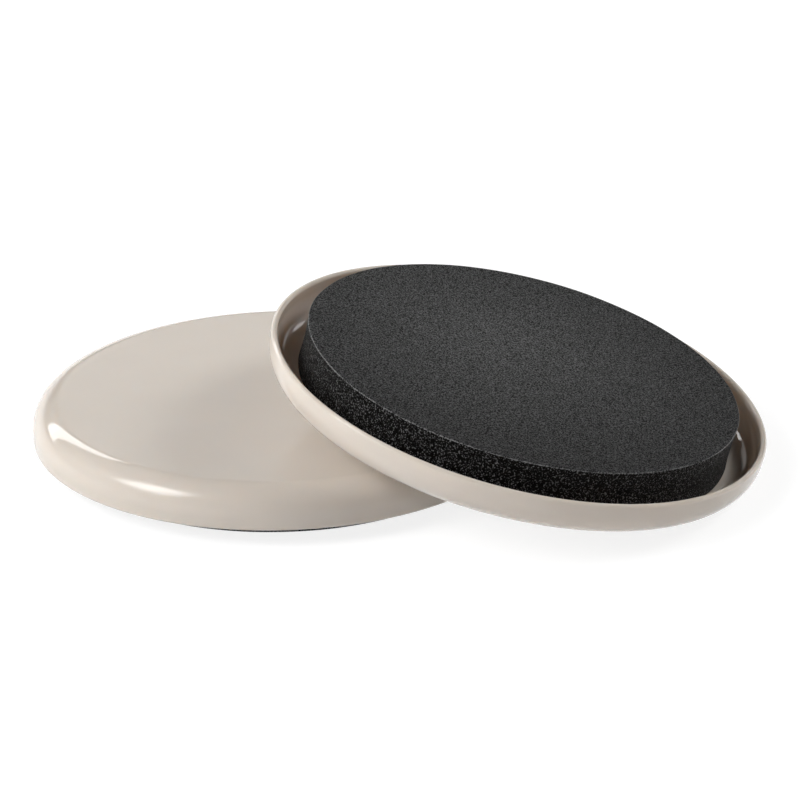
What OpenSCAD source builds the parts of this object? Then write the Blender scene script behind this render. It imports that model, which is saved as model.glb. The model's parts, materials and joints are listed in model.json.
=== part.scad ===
// A pair of round furniture sliders for carpet.
// Each slider is a dished plastic shell with a foam pad bonded into the dish.
// One slider lies pad down on the floor. The other lies pad up, with one edge on the floor
// and its sliding face leaning on the shoulder of the first.
// Origin: centre of the lying slider's pad face, on the floor. +Z is up.
// +X points from the lying slider towards the leaning one.

/* [Shell] */
// Outer diameter of the plastic shell
shell_d = 120.6; // [90:0.1:180]
// Height of the shell, from the sliding face to the crest of the lip
shell_h = 9.5; // [9:0.1:11]
// Thickness of the side wall, which ends in a fully rounded lip
wall_t = 1.5; // [1:0.1:2.2]
// Thickness of the floor behind the sliding face
floor_t = 1.5; // [1:0.1:2.5]
// Outer radius of the shoulder between the sliding face and the side wall
shoulder_r = 6.8; // [4:0.1:7.5]

/* [Pad] */
// Thickness of the foam pad
pad_t = 11.8; // [10:0.1:15]
// Flat floor left bare around the pad, before the floor curves up into the wall
pad_margin = 1.0; // [0.3:0.1:8]
// Rounding of the pad's cut edges
pad_edge_r = 0.4; // [0.1:0.1:1.5]

/* [Adhesive] */
// Thickness of the adhesive film between the floor and the pad
film_t = 0.2; // [0.1:0.05:0.5]
// Distance that the film stays inside the pad's edge
film_inset = 1.5; // [0.5:0.1:5]

/* [Pose] */
// Angle between the leaning slider's sliding face and the floor
lean_angle = 13.9; // [11:0.1:20]
// Clearance between the two sliders where one leans on the other
lean_gap = 0.2; // [0.1:0.05:0.5]

/* [Hidden] */
$fn = 96;

BEIGE = [0.80, 0.76, 0.72];
CHARCOAL = [0.17, 0.17, 0.17];
AMBER = [0.85, 0.76, 0.55];

// Radii of the shell
outer_r = shell_d / 2;
inner_r = outer_r - wall_t;
lip_r = wall_t / 2;
flat_r = outer_r - shoulder_r;
fillet_r = shoulder_r - wall_t;

// Heights above the sliding face
lip_z = shell_h - lip_r;
pad_z = floor_t + film_t;
slider_h = pad_z + pad_t;

// Radii of what is bonded to the floor
pad_r = inner_r - fillet_r - pad_margin;
film_r = pad_r - film_inset;

// Place of the leaning slider's sliding face: its shoulder touches the floor, and the face itself
// clears the lying slider's shoulder by lean_gap
lean_z = flat_r * sin(lean_angle) + shoulder_r * (1 - cos(lean_angle));
lean_x = (lean_z * (1 - cos(lean_angle)) + slider_h * cos(lean_angle) + lean_gap) / sin(lean_angle);

// Solid disc section of radius r and height h, whose lower outer corner is rounded by corner_r
module dished_section(r, h, corner_r) {
    square([r - corner_r, h]);
    translate([0, corner_r])
        square([r, h - corner_r]);
    translate([r - corner_r, corner_r])
        intersection() {
            circle(corner_r);
            translate([0, -corner_r])
                square(corner_r);
        }
}

// Upper half of the round lip, centred on the wall's top edge
module lip_section() {
    intersection() {
        circle(lip_r);
        translate([-lip_r, 0])
            square([wall_t, lip_r]);
    }
}

// Shell with its sliding face down, on z = 0
module shell_solid() {
    rotate_extrude() {
        difference() {
            dished_section(outer_r, lip_z, shoulder_r);
            translate([0, floor_t])
                dished_section(inner_r, shell_h, fillet_r);
        }
        translate([outer_r - lip_r, lip_z])
            lip_section();
    }
}

// Adhesive film on the shell's floor
module film_solid() {
    translate([0, 0, floor_t])
        cylinder(r = film_r, h = film_t);
}

// Foam pad on the film, with both cut edges rounded
module pad_solid() {
    straight_t = pad_t - 2 * pad_edge_r;
    translate([0, 0, pad_z])
        rotate_extrude() {
            square([pad_r - pad_edge_r, pad_t]);
            translate([0, pad_edge_r])
                square([pad_r, straight_t]);
            for (edge_z = [pad_edge_r, pad_edge_r + straight_t])
                translate([pad_r - pad_edge_r, edge_z])
                    circle(pad_edge_r);
        }
}

// Turns a slider over, onto its pad
module lying() {
    translate([0, 0, slider_h])
        rotate([180, 0, 0])
            children();
}

// Tips a slider up against the lying one
module leaning() {
    translate([lean_x, 0, lean_z])
        rotate([0, lean_angle, 0])
            children();
}

module lying_shell() {
    color(BEIGE) lying() shell_solid();
}

module lying_film() {
    color(AMBER) lying() film_solid();
}

module lying_pad() {
    color(CHARCOAL) lying() pad_solid();
}

module leaning_shell() {
    color(BEIGE) leaning() shell_solid();
}

module leaning_film() {
    color(AMBER) leaning() film_solid();
}

module leaning_pad() {
    color(CHARCOAL) leaning() pad_solid();
}

lying_shell();
lying_film();
lying_pad();
leaning_shell();
leaning_film();
leaning_pad();
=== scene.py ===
"""Looks of a pair of furniture sliders: glossy beige shells with charcoal foam pads, in a white studio."""

import json
import math

import bpy
from mathutils import Matrix, Quaternion, Vector, noise


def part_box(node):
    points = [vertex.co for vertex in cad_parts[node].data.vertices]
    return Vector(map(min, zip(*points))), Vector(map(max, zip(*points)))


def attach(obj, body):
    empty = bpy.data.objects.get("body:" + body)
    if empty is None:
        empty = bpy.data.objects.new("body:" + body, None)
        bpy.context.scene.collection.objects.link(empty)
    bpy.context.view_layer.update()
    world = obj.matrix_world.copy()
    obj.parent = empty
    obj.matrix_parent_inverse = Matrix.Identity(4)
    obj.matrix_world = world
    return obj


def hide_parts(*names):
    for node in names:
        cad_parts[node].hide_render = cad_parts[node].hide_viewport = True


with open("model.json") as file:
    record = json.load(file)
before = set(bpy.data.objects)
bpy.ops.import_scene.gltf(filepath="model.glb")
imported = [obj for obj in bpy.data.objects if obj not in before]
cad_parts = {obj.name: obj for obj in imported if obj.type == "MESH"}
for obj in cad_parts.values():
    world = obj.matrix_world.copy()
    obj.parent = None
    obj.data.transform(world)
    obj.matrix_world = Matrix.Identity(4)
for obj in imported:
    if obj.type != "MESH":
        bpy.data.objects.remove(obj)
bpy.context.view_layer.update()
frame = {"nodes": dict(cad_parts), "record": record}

MM = 0.001

# Sizes of one slider, measured on the solids
shell_low, shell_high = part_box("lying_shell")
pad_low, pad_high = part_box("lying_pad")
OUTER_R = shell_high.x
SHELL_H = shell_high.z - shell_low.z
SLIDER_H = shell_high.z - pad_low.z
PAD_R = pad_high.x
PAD_Z = shell_high.z - pad_high.z

# Sizes of the same solids that their boxes don't show
WALL_T = 1.5 * MM
FLOOR_T = 1.5 * MM
SHOULDER_R = 6.8 * MM
PAD_EDGE_R = 0.4 * MM

# Irregularities of the die-cut foam, all cut into the solid: depths, and lengths along the surface
PAD_WAIST = 0.25 * MM
PAD_SIDE_WAVE = 0.15 * MM
PAD_SIDE_WAVE_LENGTH = 9 * MM
PAD_FACE_WAVE = 0.08 * MM
PAD_FACE_WAVE_LENGTH = 14 * MM

# Each pad has its own irregularities, and each kind of them its own part of the noise
PAD_SEED_STEP = 10
EDGE_WEAR_AND_HIGHLIGHT_SEED = 3
PAD_FACE_SEED = 5

# Wear along the pad's edges, painted paler so that it is also a painted highlight along them: the least
# share of it, and the length of its worn places
EDGE_WEAR_AND_HIGHLIGHT_LEAST = 0.3
EDGE_WEAR_AND_HIGHLIGHT_LENGTH = 2.5 * MM

# Faces of the pad whose normal has a smaller share along its axis are cut foam, the others have a skin
SKIN_SHARE = 0.8

# Size of the foam's cells and grain
FOAM_GRAIN = 0.36 * MM

# Painted sheen: the foam's face is painted paler round a place near its middle, standing in for a broad
# sheen of light on it
PAINTED_SHEEN_PLACE = Vector((8, 10)) * MM
PAINTED_SHEEN_REACH = 60 * MM

# Fineness of the turned meshes
SEGMENTS = 288
ARC_STEP_DEG = 4.5
ARC_LEAST_STEPS = 4
SHELL_FLAT_STEPS = 6
PAD_FACE_STEPS = 40
PAD_SIDE_STEPS = 16

# A profile point nearer to the axis than this lies on it
AXIS_R = 1e-9

# Camera, fitted to the photograph's outlines
CAMERA_AIM = Vector((30.1, -1.8, 14.5)) * MM
CAMERA_DISTANCE = 717 * MM
CAMERA_AZIMUTH_DEG = 13.96
CAMERA_ELEVATION_DEG = 22.52
CAMERA_ROLL_DEG = -0.62
CAMERA_LENS_MM = 134.6

# Studio levels: 1 is white
LAMP_DISTANCE = 2.0
SKY_LEVEL = 0.024
SKY_LIGHT_SPREAD = 0.64
# Azimuth and elevation in degrees, and level
SKY_LIGHTS = {
    "front_left": (216, 30, 0.52),
    "high_left": (180, 50, 0.24),
    "low_back_right": (28, 14, 0.6),
}
# White band above the horizon, seen by the eye and in reflections
HORIZON_DEG = 8
HORIZON_FADE_DEG = 2
# Place on the lying slider's left shoulder that mirrors the back left window
LEFT_SHOULDER = Vector((-45, -36, 12.5)) * MM
FLOOR_GLOW = 0.84
FLOOR_COLOUR = 0.24
FLOOR_BOUNCE = 0.85
# The floor is white from afar, and lets shadows show near the sliders
SHADOWED_FLOOR_R = 0.5
WHITE_FLOOR_R = 3.0
FLOOR_SIZE = 60.0
FLOOR_Z = -0.05 * MM


def straight(start, end, normal, steps):
    """Profile points from start to just before end, as (radius, height, normal's radius and height)."""
    points = []
    for i in range(steps):
        share = i / steps
        points.append((
            start[0] + (end[0] - start[0]) * share,
            start[1] + (end[1] - start[1]) * share,
            normal[0],
            normal[1],
        ))
    return points


def arc(centre, radius, first_deg, last_deg, side=1):
    """Profile points round a centre, both ends included; side -1 turns the normals to the centre."""
    steps = max(ARC_LEAST_STEPS, round(abs(last_deg - first_deg) / ARC_STEP_DEG))
    points = []
    for i in range(steps + 1):
        angle = math.radians(first_deg + (last_deg - first_deg) * i / steps)
        across = math.cos(angle)
        along = math.sin(angle)
        points.append((
            centre[0] + radius * across,
            centre[1] + radius * along,
            side * across,
            side * along,
        ))
    return points


def slider_matrix(mount_name):
    """Carries a slider from its sliding face on z = 0, pad upwards, to its place in the frame."""
    mount = next(m for m in frame["record"]["mounts"] if m["name"] == mount_name)
    up = -Vector(mount["axis"])
    turn = up.to_track_quat("Z", "Y").to_matrix().to_4x4()
    return Matrix.Translation(mount["pos_m"]) @ turn


def turned_mesh(name, profile):
    """A closed mesh turned about Z. Its profile starts and ends on the axis, the outside on its right."""
    vertices = []
    normals = []
    rings = []
    for radius, height, normal_r, normal_h in profile:
        count = SEGMENTS if radius > AXIS_R else 1
        rings.append(range(len(vertices), len(vertices) + count))
        for i in range(count):
            angle = 2 * math.pi * i / SEGMENTS
            across = (math.cos(angle), math.sin(angle))
            vertices.append((radius * across[0], radius * across[1], height))
            normals.append((normal_r * across[0], normal_r * across[1], normal_h))
    faces = []
    for lower, upper in zip(rings, rings[1:]):
        for i in range(SEGMENTS):
            j = (i + 1) % SEGMENTS
            if len(lower) == 1:
                faces.append((lower[0], upper[j], upper[i]))
            elif len(upper) == 1:
                faces.append((lower[i], lower[j], upper[0]))
            else:
                faces.append((lower[i], lower[j], upper[j], upper[i]))
    mesh = bpy.data.meshes.new(name)
    mesh.from_pydata(vertices, [], faces)
    mesh.shade_smooth()
    return mesh, normals


def add_piece(name, mesh, matrix, body, node, material):
    """Puts a finished mesh in its place, on its body, in place of its solid."""
    mesh.transform(matrix)
    mesh.materials.append(material)
    piece = bpy.data.objects.new(name, mesh)
    bpy.context.scene.collection.objects.link(piece)
    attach(piece, body)
    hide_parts(node)
    return piece


def shell_profile():
    """Section of the shell: sliding face, shoulder, wall, lip, inner wall, fillet and floor."""
    inner_r = OUTER_R - WALL_T
    flat_r = OUTER_R - SHOULDER_R
    fillet_r = SHOULDER_R - WALL_T
    floor_r = inner_r - fillet_r
    lip_r = WALL_T / 2
    lip_z = SHELL_H - lip_r
    fillet_z = FLOOR_T + fillet_r
    points = straight((0, 0), (flat_r, 0), (0, -1), SHELL_FLAT_STEPS)
    points += arc((flat_r, SHOULDER_R), SHOULDER_R, -90, 0)
    points += arc((OUTER_R - lip_r, lip_z), lip_r, 0, 180)
    points += arc((floor_r, fillet_z), fillet_r, 0, -90, side=-1)
    points += reversed(straight((0, FLOOR_T), (floor_r, FLOOR_T), (0, 1), SHELL_FLAT_STEPS))
    return points


def make_shell(slider, matrix, material):
    """The moulded shell, with the exact normals of its profile."""
    name = slider + "_moulded_shell"
    mesh, normals = turned_mesh(name, shell_profile())
    mesh.normals_split_custom_set_from_vertices(normals)
    add_piece(name, mesh, matrix, slider + "_slider", slider + "_shell", material)


def pad_profile():
    """Section of the foam disc: lower face, cut side with both edges rounded, upper face."""
    corner_r = PAD_R - PAD_EDGE_R
    lower_z = PAD_Z + PAD_EDGE_R
    upper_z = SLIDER_H - PAD_EDGE_R
    points = straight((0, PAD_Z), (corner_r, PAD_Z), (0, -1), PAD_FACE_STEPS)
    points += arc((corner_r, lower_z), PAD_EDGE_R, -90, 0)
    points += straight((PAD_R, lower_z), (PAD_R, upper_z), (1, 0), PAD_SIDE_STEPS)[1:]
    points += arc((corner_r, upper_z), PAD_EDGE_R, 0, 90)
    points += reversed(straight((0, SLIDER_H), (corner_r, SLIDER_H), (0, 1), PAD_FACE_STEPS))
    return points


def wave(point, length, seed):
    """Smooth irregularity between 0 and 1 along a surface, with bumps about as long as length."""
    return 0.5 + 0.5 * max(-1, min(1, noise.noise(point / length + Vector((seed, seed, seed)))))


def make_pad(slider, seed, matrix, skin_material, cut_material):
    """The foam pad, slightly waisted and uneven, with its edge wear and painted edge highlight, and its
    painted sheen, stored on its points.
    """
    name = slider + "_foam_pad"
    mesh, normals = turned_mesh(name, pad_profile())
    middle_z = (PAD_Z + SLIDER_H) / 2
    half_t = (SLIDER_H - PAD_Z) / 2
    edge = mesh.attributes.new("cut_edge", "FLOAT", "POINT")
    painted_sheen = mesh.attributes.new("painted_sheen", "FLOAT", "POINT")
    for vertex, normal in zip(mesh.vertices, normals):
        point = vertex.co.copy()
        radius = math.hypot(point.x, point.y)
        rise = (point.z - middle_z) / half_t
        slope = abs(normal[2])
        # Edge wear, whose paler colour is also a painted highlight along the rounded edges
        wear_and_highlight = min(1, EDGE_WEAR_AND_HIGHLIGHT_LEAST + wave(point, EDGE_WEAR_AND_HIGHLIGHT_LENGTH, seed + EDGE_WEAR_AND_HIGHLIGHT_SEED))
        # 1 half way round a rounded edge, and 0 on the faces and the side
        rounding = 4 * slope * (1 - slope)
        edge.data[vertex.index].value = rounding * wear_and_highlight
        # Painted sheen: paler towards a place near the face's middle, standing in for light on the face
        painted_sheen.data[vertex.index].value = max(0, 1 - (point.xy - PAINTED_SHEEN_PLACE).length / PAINTED_SHEEN_REACH)
        if radius > PAD_R - 2 * PAD_EDGE_R:
            inwards = PAD_WAIST * (1 - rise * rise)
            inwards += PAD_SIDE_WAVE * wave(point, PAD_SIDE_WAVE_LENGTH, seed)
            vertex.co.x -= inwards * point.x / radius
            vertex.co.y -= inwards * point.y / radius
        dip = PAD_FACE_WAVE * wave(point, PAD_FACE_WAVE_LENGTH, seed + PAD_FACE_SEED)
        vertex.co.z -= dip * rise
    for face in mesh.polygons:
        face.material_index = int(abs(face.normal.z) < SKIN_SHARE)
    pad = add_piece(name, mesh, matrix, slider + "_slider", slider + "_pad", skin_material)
    mesh.materials.append(cut_material)


def new_material(name):
    """An empty node material with its output and one Principled shader, linked."""
    material = bpy.data.materials.new(name)
    material.use_nodes = True
    nodes = material.node_tree.nodes
    nodes.clear()
    output = nodes.new("ShaderNodeOutputMaterial")
    shader = nodes.new("ShaderNodeBsdfPrincipled")
    material.node_tree.links.new(shader.outputs["BSDF"], output.inputs["Surface"])
    return material, shader


def add_noise(material, size, detail=2.0):
    """Noise in the piece's own space, with features about as large as size. Returns its 0 to 1 output."""
    nodes = material.node_tree.nodes
    place = nodes.new("ShaderNodeTexCoord")
    texture = nodes.new("ShaderNodeTexNoise")
    texture.inputs["Scale"].default_value = 1 / size
    texture.inputs["Detail"].default_value = detail
    material.node_tree.links.new(place.outputs["Object"], texture.inputs["Vector"])
    return texture.outputs["Fac"]


def add_attribute(material, name):
    """A value stored on the mesh's points."""
    node = material.node_tree.nodes.new("ShaderNodeAttribute")
    node.attribute_name = name
    return node.outputs["Fac"]


def add_ramp(material, value, stops):
    """Colour ramp on a value, from (place, colour) stops."""
    ramp = material.node_tree.nodes.new("ShaderNodeValToRGB")
    elements = ramp.color_ramp.elements
    while len(elements) < len(stops):
        elements.new(0.5)
    for element, (position, colour) in zip(elements, stops):
        element.position = position
        element.color = (*colour, 1)
    material.node_tree.links.new(value, ramp.inputs["Fac"])
    return ramp.outputs["Color"]


def add_mix(material, share, first, last):
    """Colour between first and last."""
    mix = material.node_tree.nodes.new("ShaderNodeMix")
    mix.data_type = "RGBA"
    material.node_tree.links.new(share, mix.inputs["Factor"])
    material.node_tree.links.new(first, mix.inputs["A"])
    material.node_tree.links.new(last, mix.inputs["B"])
    return mix.outputs["Result"]


def add_range(material, value, low, high, first=0.3, last=0.7):
    """Spreads a value between first and last over low to high."""
    spread = material.node_tree.nodes.new("ShaderNodeMapRange")
    spread.inputs["From Min"].default_value = first
    spread.inputs["From Max"].default_value = last
    spread.inputs["To Min"].default_value = low
    spread.inputs["To Max"].default_value = high
    material.node_tree.links.new(value, spread.inputs["Value"])
    return spread.outputs["Result"]


def add_bump(material, height, depth):
    """Bump of that depth. Returns its normal."""
    bump = material.node_tree.nodes.new("ShaderNodeBump")
    bump.inputs["Strength"].default_value = 1
    bump.inputs["Distance"].default_value = depth
    material.node_tree.links.new(height, bump.inputs["Height"])
    return bump.outputs["Normal"]


def linear(red, green, blue):
    """Linear colour of sRGB values from 0 to 255."""
    channels = []
    for value in (red, green, blue):
        share = value / 255
        channels.append(share / 12.92 if share <= 0.04045 else ((share + 0.055) / 1.055) ** 2.4)
    return tuple(channels)


def grey(level):
    """Linear grey."""
    return (level, level, level)


def beige_plastic():
    """Glossy moulded plastic: an even beige with a faint drift in colour and gloss."""
    material, shader = new_material("beige_plastic")
    link = material.node_tree.links.new
    colour = add_ramp(material, add_noise(material, 30 * MM), [
        (0.35, linear(203, 194, 184)),
        (0.65, linear(206, 197, 187)),
    ])
    link(colour, shader.inputs["Base Color"])
    gloss = add_range(material, add_noise(material, 6 * MM, 4), 0.03, 0.06)
    link(gloss, shader.inputs["Roughness"])
    ripple = add_bump(material, add_noise(material, 12 * MM, 1), 0.004 * MM)
    link(ripple, shader.inputs["Normal"])
    shader.inputs["IOR"].default_value = 1.49
    shader.inputs["Subsurface Weight"].default_value = 0.5
    shader.inputs["Subsurface Radius"].default_value = (1.0, 0.86, 0.72)
    shader.inputs["Subsurface Scale"].default_value = 3.0 * MM
    return material


def foam_skin():
    """Charcoal foam rubber with a finely grained skin, painted paler round a place near its middle as a
    painted sheen.
    """
    material, shader = new_material("foam_skin")
    link = material.node_tree.links.new
    grain = add_noise(material, FOAM_GRAIN, 1)
    dark = add_ramp(material, grain, [
        (0.44, grey(0.0)),
        (0.6, grey(0.065)),
    ])
    light = add_ramp(material, grain, [
        (0.44, grey(0.01)),
        (0.6, grey(0.13)),
    ])
    # Painted sheen: the paler copy of the grain is mixed in round a place near the face's middle
    colour = add_mix(material, add_attribute(material, "painted_sheen"), dark, light)
    link(colour, shader.inputs["Base Color"])
    link(add_range(material, grain, 0.75, 0.5), shader.inputs["Roughness"])
    link(add_bump(material, grain, 0.15 * MM), shader.inputs["Normal"])
    shader.inputs["Specular IOR Level"].default_value = 0.22
    return material


def foam_cut():
    """Cut side of the foam: dark, with torn cell walls that catch the light, and a glossier edge that is
    worn and painted paler as a painted highlight.
    """
    material, shader = new_material("foam_cut")
    link = material.node_tree.links.new
    cells = add_noise(material, FOAM_GRAIN, 1)
    edge = add_attribute(material, "cut_edge")
    torn = add_ramp(material, cells, [
        (0.55, grey(0.0)),
        (0.68, grey(0.14)),
    ])
    # Paler worn edge: partly real wear, partly a painted highlight along the rounded rim
    worn_and_highlit = add_ramp(material, cells, [
        (0.35, grey(0.02)),
        (0.6, grey(0.2)),
    ])
    link(add_mix(material, add_range(material, edge, 0, 1), torn, worn_and_highlit), shader.inputs["Base Color"])
    link(add_range(material, edge, 0.7, 0.3), shader.inputs["Roughness"])
    link(add_bump(material, cells, 0.3 * MM), shader.inputs["Normal"])
    shader.inputs["Specular IOR Level"].default_value = 0.1
    shader.inputs["Sheen Weight"].default_value = 0.08
    shader.inputs["Sheen Roughness"].default_value = 0.3
    return material


def adhesive():
    """Thin amber adhesive film, a little streaky."""
    material, shader = new_material("amber_adhesive")
    link = material.node_tree.links.new
    colour = add_ramp(material, add_noise(material, 4 * MM, 3), [
        (0.3, linear(214, 190, 140)),
        (0.7, linear(226, 205, 160)),
    ])
    link(colour, shader.inputs["Base Color"])
    gloss = add_range(material, add_noise(material, 2 * MM), 0.3, 0.45)
    link(gloss, shader.inputs["Roughness"])
    return material


def seen_directly(tree):
    """1 for camera, glossy and transmission rays, which see the background, and 0 for light's own rays."""
    path = tree.nodes.new("ShaderNodeLightPath")
    seen = path.outputs["Is Camera Ray"]
    for kind in ("Is Glossy Ray", "Is Transmission Ray"):
        either = tree.nodes.new("ShaderNodeMath")
        either.operation = "MAXIMUM"
        tree.links.new(seen, either.inputs[0])
        tree.links.new(path.outputs[kind], either.inputs[1])
        seen = either.outputs[0]
    return seen


def white_floor():
    """A floor that is white to the eye, keeps the shadows on it and bounces plain light."""
    material = bpy.data.materials.new("white_floor")
    material.use_nodes = True
    tree = material.node_tree
    tree.nodes.clear()
    output = tree.nodes.new("ShaderNodeOutputMaterial")
    bounce = tree.nodes.new("ShaderNodeBsdfDiffuse")
    bounce.inputs["Color"].default_value = (FLOOR_BOUNCE, FLOOR_BOUNCE, FLOOR_BOUNCE, 1)
    shaded = tree.nodes.new("ShaderNodeBsdfDiffuse")
    shaded.inputs["Color"].default_value = (FLOOR_COLOUR, FLOOR_COLOUR, FLOOR_COLOUR, 1)
    glow = tree.nodes.new("ShaderNodeEmission")
    place = tree.nodes.new("ShaderNodeTexCoord")
    away = tree.nodes.new("ShaderNodeVectorMath")
    away.operation = "LENGTH"
    tree.links.new(place.outputs["Object"], away.inputs[0])
    whiten = tree.nodes.new("ShaderNodeMapRange")
    whiten.inputs["From Min"].default_value = SHADOWED_FLOOR_R
    whiten.inputs["From Max"].default_value = WHITE_FLOOR_R
    whiten.inputs["To Min"].default_value = FLOOR_GLOW
    tree.links.new(away.outputs["Value"], whiten.inputs["Value"])
    tree.links.new(whiten.outputs["Result"], glow.inputs["Strength"])
    lit = tree.nodes.new("ShaderNodeAddShader")
    choice = tree.nodes.new("ShaderNodeMixShader")
    tree.links.new(shaded.outputs[0], lit.inputs[0])
    tree.links.new(glow.outputs[0], lit.inputs[1])
    tree.links.new(seen_directly(tree), choice.inputs["Fac"])
    tree.links.new(bounce.outputs[0], choice.inputs[1])
    tree.links.new(lit.outputs[0], choice.inputs[2])
    tree.links.new(choice.outputs[0], output.inputs["Surface"])
    return material


def rectangle(width, height, z):
    """Corners of a level rectangle round the Z axis."""
    x = width / 2
    y = height / 2
    return [(-x, -y, z), (x, -y, z), (x, y, z), (-x, y, z)]


def make_floor():
    """One level sheet just under the sliders."""
    mesh = bpy.data.meshes.new("floor")
    mesh.from_pydata(rectangle(FLOOR_SIZE, FLOOR_SIZE, FLOOR_Z), [], [(0, 1, 2, 3)])
    mesh.materials.append(white_floor())
    floor = bpy.data.objects.new("floor", mesh)
    bpy.context.scene.collection.objects.link(floor)


def make_world():
    """Dim all round, with broad soft lights in the sky, and white near the horizon to the eye."""
    world = bpy.data.worlds.new("studio")
    bpy.context.scene.world = world
    world.use_nodes = True
    tree = world.node_tree
    tree.nodes.clear()
    output = tree.nodes.new("ShaderNodeOutputWorld")
    sky = tree.nodes.new("ShaderNodeBackground")
    sky.inputs["Color"].default_value = (1, 1, 1, 1)
    place = tree.nodes.new("ShaderNodeTexCoord")
    total = None
    for azimuth_deg, elevation_deg, level in SKY_LIGHTS.values():
        facing = tree.nodes.new("ShaderNodeVectorMath")
        facing.operation = "DOT_PRODUCT"
        facing.inputs[1].default_value = direction(azimuth_deg, elevation_deg)
        tree.links.new(place.outputs["Generated"], facing.inputs[0])
        spread = tree.nodes.new("ShaderNodeMapRange")
        spread.interpolation_type = "SMOOTHSTEP"
        spread.inputs["From Min"].default_value = SKY_LIGHT_SPREAD
        spread.inputs["To Max"].default_value = level
        tree.links.new(facing.outputs["Value"], spread.inputs["Value"])
        both = tree.nodes.new("ShaderNodeMath")
        both.inputs[1].default_value = SKY_LEVEL
        tree.links.new(spread.outputs["Result"], both.inputs[0])
        if total is not None:
            tree.links.new(total, both.inputs[1])
        total = both.outputs[0]
    tree.links.new(total, sky.inputs["Strength"])
    white = tree.nodes.new("ShaderNodeBackground")
    white.inputs["Color"].default_value = (1, 1, 1, 1)
    choice = tree.nodes.new("ShaderNodeMixShader")
    tree.links.new(near_horizon(tree, place.outputs["Generated"]), choice.inputs["Fac"])
    tree.links.new(sky.outputs[0], choice.inputs[1])
    tree.links.new(white.outputs[0], choice.inputs[2])
    tree.links.new(choice.outputs[0], output.inputs["Surface"])


def near_horizon(tree, outwards):
    """1 up to the top of the horizon band and 0 above it, for the rays that see the background."""
    apart = tree.nodes.new("ShaderNodeSeparateXYZ")
    tree.links.new(outwards, apart.inputs[0])
    fade = tree.nodes.new("ShaderNodeMapRange")
    fade.interpolation_type = "SMOOTHSTEP"
    fade.inputs["From Min"].default_value = math.sin(math.radians(HORIZON_DEG + HORIZON_FADE_DEG))
    fade.inputs["From Max"].default_value = math.sin(math.radians(HORIZON_DEG))
    tree.links.new(apart.outputs["Z"], fade.inputs["Value"])
    both = tree.nodes.new("ShaderNodeMath")
    both.operation = "MULTIPLY"
    tree.links.new(fade.outputs["Result"], both.inputs[0])
    tree.links.new(seen_directly(tree), both.inputs[1])
    return both.outputs[0]


def direction(azimuth_deg, elevation_deg):
    """Unit vector at an azimuth from +X towards +Y and an elevation above the floor."""
    azimuth = math.radians(azimuth_deg)
    elevation = math.radians(elevation_deg)
    flat = math.cos(elevation)
    return Vector((flat * math.cos(azimuth), flat * math.sin(azimuth), math.sin(elevation)))


def softbox(name, azimuth_deg, elevation_deg, size, radiance, soft, mirrored=True, distance=LAMP_DISTANCE):
    """A glowing panel that faces the sliders. soft is the share of it, from its rims, over which it fades.

    A lamp that isn't mirrored lights the sliders and stays out of their reflections.
    """
    material, glow = glow_material(name)
    fade_to_rim(material.node_tree, glow, size, radiance, soft)
    panel = add_panel(name, rectangle(*size, 0), material)
    outwards = direction(azimuth_deg, elevation_deg)
    panel.rotation_mode = "QUATERNION"
    panel.rotation_quaternion = (-outwards).to_track_quat("Z", "Y")
    panel.location = outwards * distance
    panel.visible_glossy = mirrored


def window_light(name, seen_from, corner_directions, radiance):
    """A glowing panel with its corners in these azimuths and elevations from a point."""
    corners = [seen_from + LAMP_DISTANCE * direction(*corner) for corner in corner_directions]
    material, glow = glow_material(name)
    glow.inputs["Strength"].default_value = radiance
    add_panel(name, corners, material)


def add_panel(name, corners, material):
    """A flat panel of the studio, which the camera doesn't see."""
    mesh = bpy.data.meshes.new(name)
    mesh.from_pydata(corners, [], [(0, 1, 2, 3)])
    mesh.materials.append(material)
    panel = bpy.data.objects.new(name, mesh)
    bpy.context.scene.collection.objects.link(panel)
    panel.visible_camera = False
    return panel


def glow_material(name):
    """A material that only glows, and its emission shader."""
    material = bpy.data.materials.new(name)
    material.use_nodes = True
    tree = material.node_tree
    tree.nodes.clear()
    output = tree.nodes.new("ShaderNodeOutputMaterial")
    glow = tree.nodes.new("ShaderNodeEmission")
    tree.links.new(glow.outputs[0], output.inputs["Surface"])
    return material, glow


def fade_to_rim(tree, glow, size, radiance, soft):
    """Makes a panel's glow fade towards its rim."""
    place = tree.nodes.new("ShaderNodeTexCoord")
    apart = tree.nodes.new("ShaderNodeSeparateXYZ")
    tree.links.new(place.outputs["Object"], apart.inputs[0])
    level = None
    for axis, width, share in zip("XY", size, soft):
        half = width / 2
        away = tree.nodes.new("ShaderNodeMath")
        away.operation = "ABSOLUTE"
        tree.links.new(apart.outputs[axis], away.inputs[0])
        fade = tree.nodes.new("ShaderNodeMapRange")
        fade.interpolation_type = "SMOOTHSTEP"
        fade.inputs["From Min"].default_value = half
        fade.inputs["From Max"].default_value = half * (1 - share)
        fade.inputs["To Max"].default_value = radiance if level is None else 1
        tree.links.new(away.outputs[0], fade.inputs["Value"])
        if level is None:
            level = fade.outputs["Result"]
        else:
            both = tree.nodes.new("ShaderNodeMath")
            both.operation = "MULTIPLY"
            tree.links.new(level, both.inputs[0])
            tree.links.new(fade.outputs["Result"], both.inputs[1])
            level = both.outputs[0]
    tree.links.new(level, glow.inputs["Strength"])


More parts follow.
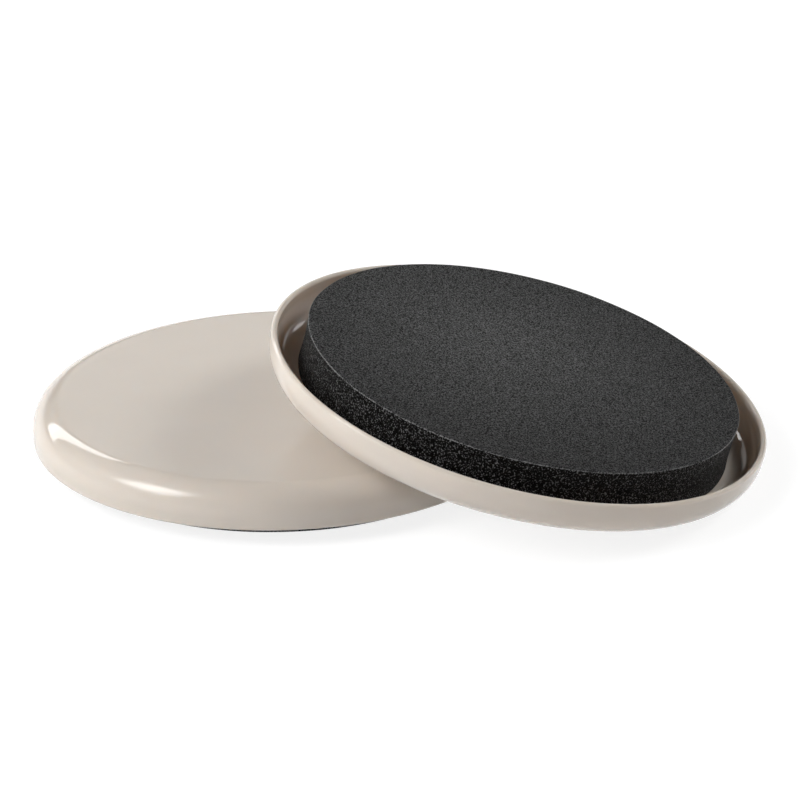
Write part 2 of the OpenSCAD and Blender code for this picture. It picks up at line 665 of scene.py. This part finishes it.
def make_camera():
    """The photograph's camera."""
    back = direction(CAMERA_AZIMUTH_DEG - 90, CAMERA_ELEVATION_DEG)
    data = bpy.data.cameras.new("camera")
    data.lens = CAMERA_LENS_MM
    camera = bpy.data.objects.new("camera", data)
    bpy.context.scene.collection.objects.link(camera)
    camera.location = CAMERA_AIM + back * CAMERA_DISTANCE
    camera.rotation_mode = "QUATERNION"
    roll = Quaternion((0, 0, 1), math.radians(CAMERA_ROLL_DEG))
    camera.rotation_quaternion = (-back).to_track_quat("-Z", "Y") @ roll
    bpy.context.scene.camera = camera


make_camera()
make_floor()
make_world()
window_light(
    "back_left_window",
    seen_from=LEFT_SHOULDER,
    corner_directions=[(142, 15), (154.5, 15), (128, 41), (114, 33.5)],
    radiance=4.2,
)
softbox(
    "front_left_key",
    azimuth_deg=214,
    elevation_deg=37,
    size=(1.85, 1.8),
    radiance=12.6,
    soft=(0.85, 0.85),
    mirrored=False,
)
softbox(
    "front_left_glint",
    azimuth_deg=213,
    elevation_deg=43.5,
    size=(1.9, 1.6),
    radiance=11.0,
    soft=(0.9, 0.85),
    distance=2.4,
)
softbox(
    "back_right_strip",
    azimuth_deg=64,
    elevation_deg=20,
    size=(0.3, 0.3),
    radiance=2.5,
    soft=(0.3, 0.3),
)
softbox(
    "right_fill",
    azimuth_deg=40,
    elevation_deg=34,
    size=(1.0, 0.6),
    radiance=12.5,
    soft=(0.3, 0.3),
    mirrored=False,
)
softbox(
    "front_right_fill",
    azimuth_deg=312,
    elevation_deg=24,
    size=(1.0, 0.8),
    radiance=1.6,
    soft=(0.5, 0.5),
    mirrored=False,
)
softbox(
    "back_card",
    azimuth_deg=110,
    elevation_deg=24,
    size=(0.24, 0.13),
    radiance=0.65,
    soft=(0.6, 0.1),
    distance=0.53,
)

shell_material = beige_plastic()
skin_material = foam_skin()
cut_material = foam_cut()
film_material = adhesive()
for number, slider in enumerate(("lying", "leaning")):
    matrix = slider_matrix(slider + "_sliding_face")
    make_shell(slider, matrix, shell_material)
    make_pad(slider, PAD_SEED_STEP * number, matrix, skin_material, cut_material)
    film = frame["nodes"][slider + "_film"]
    film.data.materials.clear()
    film.data.materials.append(film_material)

bpy.context.scene.view_settings.view_transform = "Standard"
